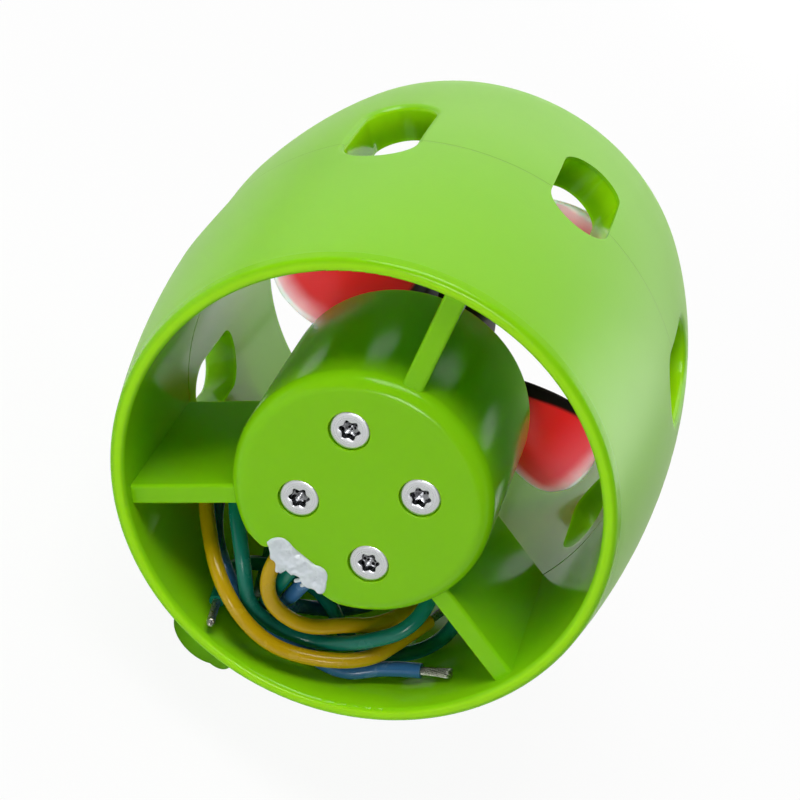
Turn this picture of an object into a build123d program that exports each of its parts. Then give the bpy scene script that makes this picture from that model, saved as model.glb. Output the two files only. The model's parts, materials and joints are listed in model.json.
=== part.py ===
from build123d import *
import math
import os

# Ducted underwater thruster: a brushless motor sits in a pod on three webs inside a nozzle-shaped
# duct, and turns a four-blade propeller behind the pod. The thrust axis runs along +Y, the mounting
# bosses point down, and the origin lies midway between the bosses, on their mounting faces.
# Every station below is a distance along the thrust axis from the plane of the inlet rim.

# How far a cutter runs past the material that it cuts
cut_run = 1.3

# Duct, with its largest wall at the bulge
bore_radius = 31.2
duct_length = 70.5
inlet_wall = 1.8
bulge_wall = 5.75
outlet_wall = 2.1
duct_bulge_station = 35.5
lip_round = 0.75
outlet_lip_round = 0.8

# Lap joint between the two shells
outer_seam_station = 33.0
inner_seam_station = 27.6
lap_cover = 2.95
lap_clearance = 0.05
inner_seam_gap = 0.35

# Slots round the duct
slot_count = 8
slot_width = 9.0
slot_near_station = 30.3
slot_far_station = 49.2
slot_draft_width = 0.8
slot_draft_near = 3.0
slot_edge_round = 0.9

# Motor pod and webs
pod_wall = 1.6
rotor_gap = 1.57
pod_near_station = 0.6
pod_far_station = 28.4
pod_plate = 3.4
pod_edge_round = 2.3
web_count = 3
web_first_angle = 105.0
web_thickness = 2.8
web_near_station = 2.0
web_edge_round = 0.5

# Lead notch in the pod, with its depths from the pod's outer skin
notch_half_width = 4.2
notch_depth = 5.4
notch_lip_depth = 2.45
notch_lip_half_width = 8.4
notch_far_station = 9.4
notch_round = 1.3

# Mounting bosses and their threaded inserts
boss_stand = 9.05
boss_radius = 5.0
boss_spacing = 36.0
front_boss_station = 20.3
rib_radius = 2.6
rib_offset_x = 3.1
rib_offset_axial = 1.5
insert_radius = 2.8
insert_bore_radius = 1.65
insert_length = 8.0
insert_recess = 0.3
insert_pilot_depth = 9.0

# Motor screws, on the 16 by 19 mm pattern
screw_pattern_short = 16.0
screw_pattern_long = 19.0
screw_head_radius = 2.7
screw_shank_radius = 1.5
screw_rim_height = 0.25
screw_recess = 0.35
screw_length = 5.4
screw_gap = 0.06
thread_gap = 0.03
lobe_count = 6
lobe_ring_radius = 1.0
lobe_radius = 0.36
lobe_depth = 1.1

# Stator
base_radius = 11.6
base_thickness = 2.6
tube_radius = 4.6
bush_radius = 3.5
bush_length = 5.0
bush_flange_radius = 4.4
bush_flange = 0.8
bush_flange_gap = 0.1
flange_seat_station = 6.0
tube_far_station = 23.0
stator_near_station = 11.0
stator_length = 10.0
stator_radius = 11.0
stator_yoke_radius = 6.6
stator_fit = 0.02
tooth_count = 12
tooth_width = 1.8
shoe_depth = 0.9
shoe_gap = 1.4
coil_wall = 0.6
coil_end = 1.2
coil_inset = 0.15
magnet_gap = 0.4
magnet_thickness = 1.3
magnet_count = 14
magnet_spacing = 0.7
magnet_overhang = 1.0
glue_gap = 0.03

# Rotor
can_wall = 1.3
can_near_station = 9.4
bell_far_station = 27.0
bell_plate = 2.6
bell_hub_radius = 4.0
bell_hub_near_station = 24.0
bell_chamfer = 0.5
bell_vent_count = 6
bell_vent_radius = 1.7
bell_vent_ring = 10.2
shaft_radius = 2.0
shaft_near_station = 4.2
shaft_clearance = 0.04
press_gap = 0.01
circlip_radius = 3.0
circlip_groove_radius = 1.7
circlip_thickness = 0.6
circlip_station = 4.5
circlip_opening = 1.9

# Propeller drive
adapter_flange_radius = 8.0
adapter_flange = 2.4
adapter_neck_radius = 4.6
stud_radius = 2.5
stud_far_station = 66.2
stud_chamfer = 0.4
adapter_screw_count = 4
adapter_screw_ring = 6.2
adapter_screw_angle = 45.0
adapter_screw_radius = 0.8
adapter_screw_head_radius = 1.3
adapter_screw_head = 1.2
adapter_screw_depth = 2.0
adapter_screw_socket_radius = 0.7
hub_radius = 6.9
hub_near_station = 42.5
hub_far_station = 59.5
hub_edge_round = 1.2
hub_fit = 0.04
washer_radius = 5.0
washer_thickness = 0.8
nut_across_flats = 8.0
nut_hex_height = 3.6
nut_flange_radius = 5.2
nut_flange = 0.9

# Propeller blades
blade_count = 4
blade_station = 50.0
blade_pitch = 70.0
blade_tip_gap = 1.3
blade_root_thickness = 2.7
blade_tip_thickness = 1.0
blade_camber = 0.06
# Share of the tip radius, and reach of the leading and trailing edges round the hub
blade_outline = ((0.187, 2.9, 2.9), (0.334, 5.9, 6.3), (0.502, 7.7, 9.2), (0.669, 8.4, 10.9),
                 (0.803, 7.6, 11.4), (0.903, 4.7, 10.6), (0.963, 1.5, 8.4), (0.99, -2.2, 6.0))

# Along the chord of a blade section from its middle, with the share of camber and of thickness
blade_section = ((-0.5, 0.8, 0.4), (0.0, 1.0, 0.5), (0.5, 0.8, 0.45))
blade_leading_slope = 0.15
blade_trailing_slope = 0.25

# Sealant in the notch, and the leads that come out of it
sealant_near_station = 0.7
sealant_far_station = 7.6
sealant_half_width = 5.3
sealant_depth = 1.7
sealant_round = 0.4
lead_diameter = 2.1
lead_core_diameter = 1.2
lead_tip_length = 4.0
lead_tip_round = 0.3
lead_bend_share = 0.45

# Derived places
rim_y = -(front_boss_station + boss_spacing / 2)
duct_bulge_radius = bore_radius + bulge_wall
lap_radius = duct_bulge_radius - lap_cover
axis_height = duct_bulge_radius + boss_stand
magnet_inner_radius = stator_radius + magnet_gap
can_inner_radius = magnet_inner_radius + magnet_thickness + glue_gap
can_radius = can_inner_radius + can_wall
pod_bore_radius = can_radius + rotor_gap
pod_radius = pod_bore_radius + pod_wall
plate_far_station = pod_near_station + pod_plate
notch_inner_height = pod_radius - notch_depth
notch_lip_height = pod_radius - notch_lip_depth
blade_tip_radius = bore_radius - blade_tip_gap
thrust_axis = Axis((0, rim_y, axis_height), (0, 1, 0))
section = Plane(origin=(0, rim_y, axis_height), x_dir=(0, 1, 0), z_dir=(1, 0, 0))


def station(distance):
    # Plane across the thrust axis, seen from the inlet: local x is +X and local y is +Z.
    return Plane(origin=(0, rim_y + distance, axis_height), x_dir=(1, 0, 0), z_dir=(0, -1, 0))


def radial_plane(angle, distance, axial=0.0):
    # Plane facing outwards at a polar angle: local x runs round the duct and local y to the inlet.
    turn = math.radians(angle)
    outward = Vector(math.cos(turn), 0, math.sin(turn))
    origin = Vector(0, rim_y + axial, axis_height) + outward * distance
    return Plane(origin=origin, x_dir=(-math.sin(turn), 0, math.cos(turn)), z_dir=outward)


def below(height):
    # Plane facing down, a given height above the mounting faces: local x is +X and local y is -Y.
    return Plane(origin=(0, 0, height), x_dir=(1, 0, 0), z_dir=(0, 0, -1))


os.makedirs("parts", exist_ok=True)
pieces = []


def keep(piece, label):
    piece.part.label = label
    pieces.append((label, piece.part))


# Slot cutter at the top of the duct: an obround that widens and reaches forward outwards
with BuildPart() as slot_cutter:
    for reach in (-cut_run, bulge_wall + cut_run):
        share = reach / bulge_wall
        near = slot_near_station - slot_draft_near * share
        width = slot_width + slot_draft_width * share
        middle = (near + slot_far_station) / 2
        with BuildSketch(radial_plane(90, bore_radius + reach, middle)):
            SlotOverall(slot_far_station - near, width, rotation=90)
    loft()

# Outer skin of the duct along the thrust axis
with BuildLine() as duct_arc:
    ThreePointArc((0, bore_radius + inlet_wall), (duct_bulge_station, duct_bulge_radius),
                  (duct_length, bore_radius + outlet_wall))

# Whole duct ring, which the seam divides later
with BuildPart() as duct_ring:
    with BuildSketch(section):
        with BuildLine():
            Polyline((0, bore_radius + inlet_wall), (0, bore_radius), (duct_length, bore_radius),
                     (duct_length, bore_radius + outlet_wall))
            add(duct_arc.line)
        make_face()
    revolve(axis=thrust_axis)
    lips = duct_ring.edges().filter_by(GeomType.CIRCLE).group_by(Axis.Y)
    fillet(lips[0], lip_round)
    fillet(lips[-1], outlet_lip_round)
    for index in range(slot_count):
        turned = slot_cutter.part.rotate(thrust_axis, index * 360 / slot_count)
        add(turned, mode=Mode.SUBTRACT)
    outer_skin = duct_ring.faces().filter_by(GeomType.REVOLUTION).sort_by(SortBy.AREA)[-1]
    slot_mouths = [edge for wire in outer_skin.inner_wires() for edge in wire.edges()]
    fillet(slot_mouths, slot_edge_round)

# Outlet side of the seam, as a solid of revolution: what belongs to the rear shell
with BuildPart() as rear_zone:
    with BuildSketch(section):
        with BuildLine():
            Polyline((inner_seam_station + inner_seam_gap, bore_radius - cut_run),
                     (inner_seam_station + inner_seam_gap, lap_radius - lap_clearance),
                     (outer_seam_station, lap_radius - lap_clearance),
                     (outer_seam_station, duct_bulge_radius + cut_run),
                     (duct_length + cut_run, duct_bulge_radius + cut_run),
                     (duct_length + cut_run, bore_radius - cut_run), close=True)
        make_face()
    revolve(axis=thrust_axis)

with BuildPart() as front_zone:
    with BuildSketch(section):
        with BuildLine():
            Polyline((-cut_run, bore_radius - cut_run), (-cut_run, duct_bulge_radius + cut_run),
                     (outer_seam_station, duct_bulge_radius + cut_run),
                     (outer_seam_station, lap_radius), (inner_seam_station, lap_radius),
                     (inner_seam_station, bore_radius - cut_run), close=True)
        make_face()
    revolve(axis=thrust_axis)


def boss_centre(row):
    # Row 0 is the boss on the front shell, row 1 the one on the rear shell.
    return (0, (0.5 - row) * boss_spacing)


boss_top = axis_height - bore_radius - inlet_wall

# Motor screw places on the face of the pod
screw_points = []
for angle, span in ((135, screw_pattern_long), (-45, screw_pattern_long),
                    (45, screw_pattern_short), (225, screw_pattern_short)):
    turn = math.radians(angle)
    screw_points.append((span / 2 * math.cos(turn), span / 2 * math.sin(turn)))

# Motor pod: a cup with a screw plate at the inlet end and a notch for the leads underneath
with BuildPart() as pod:
    with BuildSketch(station(pod_near_station)):
        Circle(pod_radius)
    extrude(amount=pod_near_station - pod_far_station)
    fillet(pod.edges().group_by(Axis.Y)[0], pod_edge_round)
    with BuildSketch(station(plate_far_station)):
        Circle(pod_bore_radius)
    extrude(amount=plate_far_station - pod_far_station, mode=Mode.SUBTRACT)
    with BuildSketch(station(0)) as notch_outline:
        with Locations((0, -notch_inner_height)):
            Rectangle(2 * notch_half_width, pod_radius, align=(Align.CENTER, Align.MAX))
        with Locations((0, -notch_lip_height)):
            Rectangle(2 * notch_lip_half_width, pod_radius, align=(Align.CENTER, Align.MAX))
        fillet(notch_outline.vertices().group_by(Axis.Y)[1:], notch_round)
    extrude(amount=-notch_far_station, mode=Mode.SUBTRACT)
    with Locations(*[station(pod_near_station + screw_recess + screw_rim_height)
                     * Location((x, z, 0)) for x, z in screw_points]):
        CounterSinkHole(screw_shank_radius + screw_gap, screw_head_radius + screw_gap, pod_plate)

# Front shell: inlet half of the duct, three webs and the motor pod
with BuildPart() as front_shell:
    add(duct_ring.part)
    add(front_zone.part, mode=Mode.INTERSECT)
    with BuildSketch(station(web_near_station)):
        web_outer = bore_radius + inlet_wall / 2
        web_inner = pod_radius - pod_wall / 2
        with PolarLocations((web_outer + web_inner) / 2, web_count, web_first_angle):
            Rectangle(web_outer - web_inner, web_thickness)
    extrude(amount=web_near_station - inner_seam_station)
    straight = front_shell.edges().filter_by(GeomType.LINE)
    web_edges = straight.filter_by(lambda edge: edge.length > 2 * web_thickness)
    fillet(web_edges.group_by(Axis.Y)[0], web_edge_round)
    add(pod.part)
keep(front_shell, "front_shell")

# Rear shell: outlet half of the duct with the spigot of the lap joint
with BuildPart() as rear_shell:
    add(duct_ring.part)
    add(rear_zone.part, mode=Mode.INTERSECT)
keep(rear_shell, "rear_shell")

# Mounting bosses, one under each shell: they end on the outer skin and are bored for the inserts
with BuildPart() as mounting_bosses:
    with BuildSketch(below(0)):
        with Locations(boss_centre(0), boss_centre(1)):
            Circle(boss_radius)
        with Locations((rib_offset_x, boss_centre(0)[1] + rib_offset_axial)):
            Circle(rib_radius)
    extrude(amount=-boss_top)
    with BuildSketch(below(0)):
        with Locations(boss_centre(0), boss_centre(1)):
            Circle(insert_radius)
    extrude(amount=-insert_pilot_depth, mode=Mode.SUBTRACT)
    with BuildSketch(section):
        with BuildLine():
            Polyline((0, bore_radius + inlet_wall), (0, 0), (duct_length, 0),
                     (duct_length, bore_radius + outlet_wall))
            add(duct_arc.line)
        make_face()
    revolve(axis=thrust_axis, mode=Mode.SUBTRACT)
keep(mounting_bosses, "mounting_bosses")

# Threaded inserts in the two bosses
with BuildPart() as foot_inserts:
    with BuildSketch(below(insert_recess)):
        with Locations(boss_centre(0), boss_centre(1)):
            Circle(insert_radius)
            Circle(insert_bore_radius, mode=Mode.SUBTRACT)
    extrude(amount=-insert_length)
keep(foot_inserts, "foot_inserts")

# Countersunk motor screws with a six-lobe recess
head_station = pod_near_station + screw_recess
with BuildPart() as motor_screw:
    with BuildSketch(section):
        with BuildLine():
            Polyline((head_station, 0), (head_station, screw_head_radius),
                     (head_station + screw_rim_height, screw_head_radius),
                     (head_station + screw_rim_height + screw_head_radius - screw_shank_radius,
                      screw_shank_radius),
                     (head_station + screw_length, screw_shank_radius),
                     (head_station + screw_length, 0), close=True)
        make_face()
    revolve(axis=thrust_axis)
    with BuildSketch(station(head_station)):
        Circle(lobe_ring_radius)
        with PolarLocations(lobe_ring_radius, lobe_count):
            Circle(lobe_radius)
    extrude(amount=-lobe_depth, mode=Mode.SUBTRACT)
with BuildPart() as motor_screws:
    with Locations(*[(x, 0, z) for x, z in screw_points]):
        add(motor_screw.part)
keep(motor_screws, "motor_screws")

# Motor base: a disc tapped for the four screws, with the bearing tube on it
with BuildPart() as motor_base:
    with BuildSketch(station(plate_far_station)):
        Circle(base_radius)
        with Locations(*screw_points):
            Circle(screw_shank_radius + thread_gap, mode=Mode.SUBTRACT)
    extrude(amount=-base_thickness)
    with BuildSketch(station(plate_far_station)):
        Circle(tube_radius)
    extrude(amount=plate_far_station - tube_far_station)
    with BuildSketch(station(plate_far_station)):
        Circle(bush_radius)
    extrude(amount=plate_far_station - tube_far_station, mode=Mode.SUBTRACT)
    with BuildSketch(station(plate_far_station)):
        Circle(bush_flange_radius + bush_flange_gap)
    extrude(amount=-(flange_seat_station - plate_far_station), mode=Mode.SUBTRACT)
keep(motor_base, "motor_base")

# Flanged bushes at both ends of the bearing tube
with BuildPart() as shaft_bushes:
    for seat, direction in ((flange_seat_station, 1), (tube_far_station, -1)):
        with BuildSketch(station(seat)):
            Circle(bush_radius)
        extrude(amount=-direction * bush_length)
        with BuildSketch(station(seat)):
            Circle(bush_flange_radius)
        extrude(amount=direction * bush_flange)
    with BuildSketch(station(plate_far_station)):
        Circle(shaft_radius + shaft_clearance)
    extrude(amount=-(tube_far_station + bush_flange - plate_far_station), mode=Mode.SUBTRACT)
keep(shaft_bushes, "shaft_bushes")

# Stator stack with its teeth and shoes
shoe_radius = stator_radius - shoe_depth
with BuildPart() as stator_core:
    with BuildSketch(station(stator_near_station)):
        Circle(stator_radius)
        Circle(shoe_radius, mode=Mode.SUBTRACT)
        with PolarLocations(stator_radius, tooth_count, 180 / tooth_count):
            Rectangle(2 * shoe_depth + cut_run, shoe_gap, mode=Mode.SUBTRACT)
        with PolarLocations(tube_radius, tooth_count):
            Rectangle(stator_radius - shoe_depth / 2 - tube_radius, tooth_width,
                      align=(Align.MIN, Align.CENTER))
        Circle(stator_yoke_radius)
        Circle(tube_radius + stator_fit, mode=Mode.SUBTRACT)
    extrude(amount=-stator_length)
keep(stator_core, "stator_core")

# One coil round each tooth
coil_inner = stator_yoke_radius + coil_inset
coil_outer = shoe_radius - coil_inset
with BuildPart() as stator_windings:
    for index in range(tooth_count):
        middle = stator_near_station + stator_length / 2
        with BuildSketch(radial_plane(index * 360 / tooth_count, coil_inner, middle)):
            RectangleRounded(tooth_width + 2 * coil_wall, stator_length + 2 * coil_end,
                             coil_wall)
            Rectangle(tooth_width, stator_length, mode=Mode.SUBTRACT)
        extrude(amount=coil_outer - coil_inner)
keep(stator_windings, "stator_windings")

# Rotor bell: the flux ring with its vented end plate and hub
with BuildPart() as rotor_bell:
    with BuildSketch(station(can_near_station)):
        Circle(can_radius)
        Circle(can_inner_radius, mode=Mode.SUBTRACT)
    extrude(amount=can_near_station - bell_far_station)
    with BuildSketch(station(bell_far_station)):
        Circle(can_radius)
        with PolarLocations(bell_vent_ring, bell_vent_count):
            Circle(bell_vent_radius, mode=Mode.SUBTRACT)
    extrude(amount=bell_plate)
    with BuildSketch(station(bell_far_station)):
        Circle(bell_hub_radius)
    extrude(amount=bell_far_station - bell_hub_near_station)
    with BuildSketch(station(bell_far_station)):
        Circle(shaft_radius + press_gap)
    extrude(amount=bell_far_station - bell_hub_near_station, mode=Mode.SUBTRACT)
    outer_edge = rotor_bell.edges().filter_by(GeomType.CIRCLE).group_by(SortBy.RADIUS)[-1]
    chamfer(outer_edge.group_by(Axis.Y)[-1], bell_chamfer)
    with BuildSketch(station(bell_far_station)):
        with PolarLocations(adapter_screw_ring, adapter_screw_count, adapter_screw_angle):
            Circle(adapter_screw_radius + press_gap)
    extrude(amount=adapter_screw_depth, mode=Mode.SUBTRACT)
keep(rotor_bell, "rotor_bell")

# Magnets glued inside the flux ring
with BuildPart() as rotor_magnets:
    with BuildSketch(station(stator_near_station - magnet_overhang)):
        Circle(magnet_inner_radius + magnet_thickness)
        Circle(magnet_inner_radius, mode=Mode.SUBTRACT)
        with PolarLocations(magnet_inner_radius, magnet_count):
            Rectangle(3 * magnet_thickness, magnet_spacing, mode=Mode.SUBTRACT)
    extrude(amount=-(stator_length + 2 * magnet_overhang))
keep(rotor_magnets, "rotor_magnets")

# Motor shaft with a groove for the circlip
with BuildPart() as motor_shaft:
    with BuildSketch(section):
        with BuildLine():
            Polyline((shaft_near_station, 0), (shaft_near_station, shaft_radius),
                     (circlip_station, shaft_radius), (circlip_station, circlip_groove_radius),
                     (circlip_station + circlip_thickness, circlip_groove_radius),
                     (circlip_station + circlip_thickness, shaft_radius),
                     (bell_far_station, shaft_radius), (bell_far_station, 0), close=True)
        make_face()
    revolve(axis=thrust_axis)
keep(motor_shaft, "motor_shaft")

with BuildPart() as shaft_circlip:
    with BuildSketch(station(circlip_station)):
        Circle(circlip_radius)
        Circle(circlip_groove_radius + press_gap, mode=Mode.SUBTRACT)
        Rectangle(circlip_radius + cut_run, circlip_opening, align=(Align.MIN, Align.CENTER),
                  mode=Mode.SUBTRACT)
    extrude(amount=-circlip_thickness)
keep(shaft_circlip, "shaft_circlip")

# Propeller adapter: a flange screwed to the bell, a neck and a threaded stud
with BuildPart() as prop_adapter:
    with BuildSketch(section):
        with BuildLine():
            Polyline((bell_far_station, 0), (bell_far_station, adapter_flange_radius),
                     (bell_far_station + adapter_flange, adapter_flange_radius),
                     (bell_far_station + adapter_flange, adapter_neck_radius),
                     (hub_near_station, adapter_neck_radius), (hub_near_station, stud_radius),
                     (stud_far_station - stud_chamfer, stud_radius),
                     (stud_far_station, stud_radius - stud_chamfer), (stud_far_station, 0),
                     close=True)
        make_face()
    revolve(axis=thrust_axis)
    with BuildSketch(station(bell_far_station)):
        with PolarLocations(adapter_screw_ring, adapter_screw_count, adapter_screw_angle):
            Circle(adapter_screw_radius + press_gap)
    extrude(amount=-adapter_flange, mode=Mode.SUBTRACT)
keep(prop_adapter, "prop_adapter")

with BuildPart() as adapter_screws:
    head_seat = bell_far_station + adapter_flange
    with BuildSketch(station(head_seat)):
        with PolarLocations(adapter_screw_ring, adapter_screw_count, adapter_screw_angle):
            Circle(adapter_screw_radius)
    extrude(amount=adapter_flange + adapter_screw_depth)
    with BuildSketch(station(head_seat)):
        with PolarLocations(adapter_screw_ring, adapter_screw_count, adapter_screw_angle):
            Circle(adapter_screw_head_radius)
    extrude(amount=-adapter_screw_head)
    with BuildSketch(station(head_seat + adapter_screw_head)):
        with PolarLocations(adapter_screw_ring, adapter_screw_count, adapter_screw_angle):
            RegularPolygon(adapter_screw_socket_radius, 6)
    extrude(amount=adapter_screw_head / 2, mode=Mode.SUBTRACT)
keep(adapter_screws, "adapter_screws")


# Propeller blade: cambered sections at the angle of one constant pitch, skewed towards the tip.
# Along a section the leading edge is at +half, nearer the inlet, and the hollow side faces the
# outlet.
with BuildPart() as blade:
    root_radius = blade_outline[0][0] * blade_tip_radius
    for share, lead, trail in blade_outline:
        distance = share * blade_tip_radius
        pitch_angle = math.atan2(blade_pitch, 2 * math.pi * distance)
        stretch = 1 / math.cos(pitch_angle)
        half = (lead + trail) / 2 * stretch
        middle = (lead - trail) / 2 * stretch
        reach = (distance - root_radius) / (blade_tip_radius - root_radius)
        thick = blade_root_thickness + (blade_tip_thickness - blade_root_thickness) * reach
        camber = 2 * half * blade_camber
        along_chord = (0, -math.sin(pitch_angle), math.cos(pitch_angle))
        middle_point = (distance, rim_y + blade_station, axis_height)
        with BuildSketch(Plane(origin=middle_point, x_dir=along_chord, z_dir=(1, 0, 0))):
            with BuildLine():
                for side in (1, -1):
                    crown = [(middle + along * half, rise * camber + side * fill * thick)
                             for along, rise, fill in blade_section]
                    Spline((middle - half, 0), *crown, (middle + half, 0),
                           tangents=((blade_trailing_slope, side),
                                     (blade_leading_slope, -side)))
            make_face()
    loft()

# Propeller: four blades on a bored hub
with BuildPart() as propeller:
    with BuildSketch(station(hub_near_station)):
        Circle(hub_radius)
    extrude(amount=hub_near_station - hub_far_station)
    fillet(propeller.edges().filter_by(GeomType.CIRCLE).group_by(Axis.Y)[-1], hub_edge_round)
    for index in range(blade_count):
        add(blade.part.rotate(thrust_axis, index * 360 / blade_count))
    with BuildSketch(station(hub_near_station)):
        Circle(stud_radius + hub_fit)
    extrude(amount=hub_near_station - hub_far_station, mode=Mode.SUBTRACT)
keep(propeller, "propeller")

# Washer and flanged nut that hold the propeller
with BuildPart() as prop_washer:
    with BuildSketch(station(hub_far_station)):
        Circle(washer_radius)
        Circle(stud_radius + hub_fit, mode=Mode.SUBTRACT)
    extrude(amount=-washer_thickness)
keep(prop_washer, "prop_washer")

with BuildPart() as prop_nut:
    nut_station = hub_far_station + washer_thickness
    with BuildSketch(station(nut_station)):
        Circle(nut_flange_radius)
    extrude(amount=-nut_flange)
    with BuildSketch(station(nut_station + nut_flange)):
        RegularPolygon(nut_across_flats / 2, 6, major_radius=False)
    extrude(amount=-nut_hex_height)
    with BuildSketch(station(nut_station)):
        Circle(stud_radius + press_gap)
    extrude(amount=-(nut_flange + nut_hex_height), mode=Mode.SUBTRACT)
keep(prop_nut, "prop_nut")

# Sealant round the leads, flush with the sides of the notch and a little proud below
with BuildPart() as lead_sealant:
    with BuildSketch(station(sealant_near_station)):
        add(notch_outline.sketch_local)
        with Locations((0, -notch_inner_height)):
            Rectangle(2 * sealant_half_width, notch_depth - sealant_depth,
                      align=(Align.CENTER, Align.MAX), mode=Mode.INTERSECT)
    extrude(amount=sealant_near_station - sealant_far_station)
    front_rim = lead_sealant.edges().group_by(Axis.Y)[0]
    fillet(front_rim.sort_by(Axis.Z)[0], sealant_round)
keep(lead_sealant, "lead_sealant")

# Silicone leads: each lies in loops between two webs and ends in a bare tinned core.
# The points are the corners of the route, from inside the sealant to the cut end: across, station
# and height over the thrust axis.
lead_routes = {
    "yellow": [
        (-2.5, 1.8, -12.9), (-2.5, 1.8, -16.6), (-0.4, 1.7, -20.6), (3.1, 3.1, -22.9),
        (7.5, 4.4, -22.8), (11.5, 6.5, -19.7), (14.6, 8.9, -18.9), (17.7, 12.9, -15.7),
        (20.1, 19.9, -12.2), (19.1, 27.2, -14.8), (12.8, 30.3, -19.9), (2.5, 27.7, -22.9),
        (-7.8, 27.3, -21.1), (-13.9, 22.5, -19.9), (-15.2, 15.3, -21.8), (-10.9, 8.7, -23.2),
        (-5.8, 2.5, -24.5), (1.5, 1.8, -27.1), (8.3, 3.1, -27.1), (16.4, 4.5, -21.6),
        (18.8, 9.1, -17.5), (20.6, 14.3, -16.3)],
    "green": [
        (0.1, 2.6, -12.9), (0.1, 2.6, -16.9), (1.9, 9.6, -30.9), (-2.0, 25.9, -26.6),
        (-12.2, 21.5, -16.1), (-12.4, 9.7, -16.0), (-4.9, 3.5, -20.5), (0.3, 4.6, -27.1),
        (9.8, 6.8, -25.8), (14.0, 5.0, -20.1), (17.9, 4.8, -12.9), (16.7, 9.2, -7.3),
        (17.5, 16.4, -7.2), (22.5, 19.9, -11.1), (25.0, 17.1, -17.3), (21.1, 10.8, -21.2),
        (14.5, 11.0, -25.4), (8.4, 15.3, -24.0), (4.0, 17.6, -26.0), (-0.8, 17.2, -27.2),
        (-4.2, 13.8, -27.8), (-4.9, 9.6, -28.4), (-3.9, 5.0, -29.0)],
    "blue": [
        (2.7, 2.8, -12.9), (2.7, 2.8, -18.7), (3.6, 11.6, -27.6), (13.9, 20.2, -26.0),
        (17.2, 19.8, -14.3), (17.7, 27.9, -9.4), (13.5, 35.7, -12.2), (5.4, 35.7, -19.5),
        (-5.3, 32.1, -20.0), (-11.9, 28.1, -21.7), (-12.6, 21.4, -24.5), (-10.0, 12.0, -25.0),
        (-4.8, 6.1, -25.7), (1.4, 6.2, -28.9), (7.9, 8.0, -28.7), (15.4, 5.5, -26.1),
        (19.1, 6.8, -21.6), (23.0, 6.4, -18.1)],
}

for colour, route in lead_routes.items():
    corners = [Vector(across, rim_y + along, axis_height + height) for across, along, height in route]
    bend_radii = []
    for before, corner, after in zip(corners, corners[1:], corners[2:]):
        arriving = corner - before
        leaving = after - corner
        half_turn = math.radians(arriving.get_angle(leaving)) / 2
        shorter_run = min(arriving.length, leaving.length)
        bend_radii.append(lead_bend_share * shorter_run / math.tan(half_turn))
    with BuildPart() as lead:
        with BuildLine() as lead_line:
            FilletPolyline(*corners, radius=bend_radii)
        with BuildSketch(Plane(origin=corners[0], z_dir=corners[1] - corners[0])):
            Circle(lead_diameter / 2)
        sweep()
    keep(lead, f"lead_{colour}")
    lead_length = lead_line.wires()[0].length
    lead_volume = lead_length * math.pi * (lead_diameter / 2) ** 2
    print(colour, "length", round(lead_length, 1), "tightest bend", round(min(bend_radii), 1),
          "volume over section by length", round(lead.part.volume / lead_volume, 4))
    with BuildPart() as tip:
        with BuildSketch(Plane(origin=corners[-1], z_dir=corners[-1] - corners[-2])):
            Circle(lead_core_diameter / 2)
        extrude(amount=lead_tip_length)
        cut_end = tip.edges().sort_by_distance(corners[-2])[-1]
        fillet(cut_end, lead_tip_round)
    keep(tip, f"tip_{colour}")

for label, part in pieces:
    export_step(part, f"parts/{label}.step")
    print(label, round(part.volume, 1), len(part.solids()))
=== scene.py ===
import bmesh
import bpy
import json
import math
import random
from mathutils import Matrix, Vector, noise


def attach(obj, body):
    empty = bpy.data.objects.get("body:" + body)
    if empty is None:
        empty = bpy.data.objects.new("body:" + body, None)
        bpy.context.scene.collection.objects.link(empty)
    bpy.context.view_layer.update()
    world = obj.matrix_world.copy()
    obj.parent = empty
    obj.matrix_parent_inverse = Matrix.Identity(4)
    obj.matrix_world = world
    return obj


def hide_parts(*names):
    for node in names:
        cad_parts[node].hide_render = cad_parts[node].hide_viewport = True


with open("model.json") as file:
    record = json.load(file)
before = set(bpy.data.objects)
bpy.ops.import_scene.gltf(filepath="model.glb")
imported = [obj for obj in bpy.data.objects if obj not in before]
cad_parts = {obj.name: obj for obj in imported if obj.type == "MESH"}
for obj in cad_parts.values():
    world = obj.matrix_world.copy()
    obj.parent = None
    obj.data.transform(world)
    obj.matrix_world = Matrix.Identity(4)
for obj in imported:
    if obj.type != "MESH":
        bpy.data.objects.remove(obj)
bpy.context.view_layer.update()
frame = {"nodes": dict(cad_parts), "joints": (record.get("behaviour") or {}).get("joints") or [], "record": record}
print("frame loaded:", len(frame["nodes"]), "nodes")

mm = 0.001
rimCentre = Vector(frame["joints"][0]["pos_m"])  # on the thrust axis, in the plane of the inlet rim
bodyOf = {node: body for body, members in frame["record"]["behaviour"]["bodies"].items() for node in members}
slotOf = {part["node"]: part["material_slot"] for part in frame["record"]["subparts"]}


def stationPoint(station, across=0.0, height=0.0):
    # A place in millimetres from its distance behind the rim, and across and above the thrust axis
    return rimCentre / mm + Vector((across, station, height))


def hexColour(code):
    # sRGB hex to a linear colour
    parts = [int(code[i:i + 2], 16) / 255 for i in (1, 3, 5)]
    return [p / 12.92 if p <= 0.04045 else ((p + 0.055) / 1.055) ** 2.4 for p in parts] + [1.0]


def addNode(tree, kind, values=None, links=None, **settings):
    node = tree.nodes.new(kind)
    for name, value in settings.items():
        setattr(node, name, value)
    for key, value in (values or {}).items():
        node.inputs[key].default_value = value
    for key, socket in (links or {}).items():
        tree.links.new(socket, node.inputs[key])
    return node


def newObject(name, data):
    made = bpy.data.objects.new(name, data)
    bpy.context.scene.collection.objects.link(made)
    return made


def addPiece(name, mesh, material, body, slotName, *nodes):
    piece = newObject(name, mesh)
    if material:
        piece.data.materials.clear()
        piece.data.materials.append(material)
    if nodes:
        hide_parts(*nodes)
    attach(piece, body)
    return piece


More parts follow.
